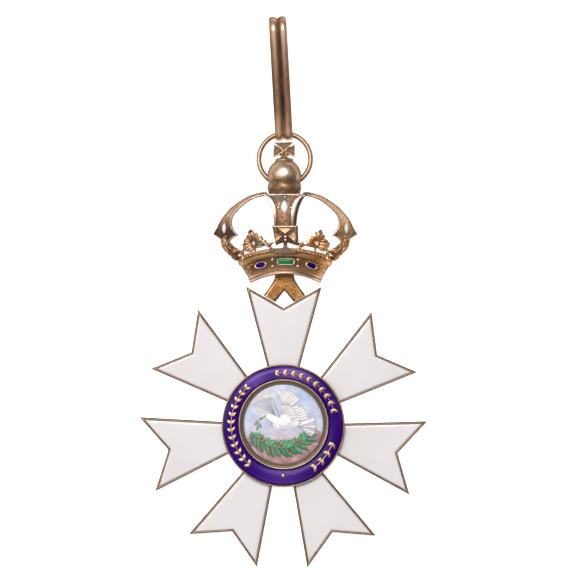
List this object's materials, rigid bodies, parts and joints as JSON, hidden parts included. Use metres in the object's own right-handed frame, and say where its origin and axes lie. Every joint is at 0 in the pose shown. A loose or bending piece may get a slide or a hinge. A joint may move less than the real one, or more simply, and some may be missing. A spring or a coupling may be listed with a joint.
{
  "type": "order badge",
  "caption": "Flat enamelled star badge with a round medallion, a half-round crown above it, an orb with a wire ring, and a long ribbed bail for a neck ribbon.",
  "frame": {"origin": "centre of the star on its flat back face", "axes": "+Y from the star through the crown to the bail, +Z out of the enamelled front, +X to the right as seen from the front"},
  "size_m": [0.0602, 0.1157, 0.0082],
  "materials": {
    "gilt": "soft satin gilding",
    "copper_gilt": "worn reddish gilding with dark hollows",
    "white_enamel": "glossy, faintly uneven",
    "blue_enamel": "glossy, deep",
    "painted_enamel": "glossy painted",
    "green_stone": "glossy",
    "blue_stone": "glossy",
    "white_stone": "glossy"
  },
  "bodies": {
    "root": {"star_frame": "gilt", "enamel_arm_1": "white_enamel", "enamel_arm_2": "white_enamel", "enamel_arm_3": "white_enamel", "enamel_arm_4": "white_enamel", "enamel_arm_5": "white_enamel", "enamel_arm_6": "white_enamel", "enamel_arm_7": "white_enamel", "medallion_frame": "gilt", "blue_enamel": "blue_enamel", "sprig_left": "gilt", "sprig_top": "gilt", "sprig_right": "gilt", "ring_dot": "gilt", "picture": "painted_enamel", "link": "gilt", "crown": "copper_gilt", "green_stone": "green_stone", "blue_stone_left": "blue_stone", "blue_stone_right": "blue_stone", "pearl_front": "white_stone", "pearl_left": "white_stone", "pearl_right": "white_stone", "orb": "copper_gilt", "ring": "gilt", "bail": "gilt"}
  },
  "joints": []
}
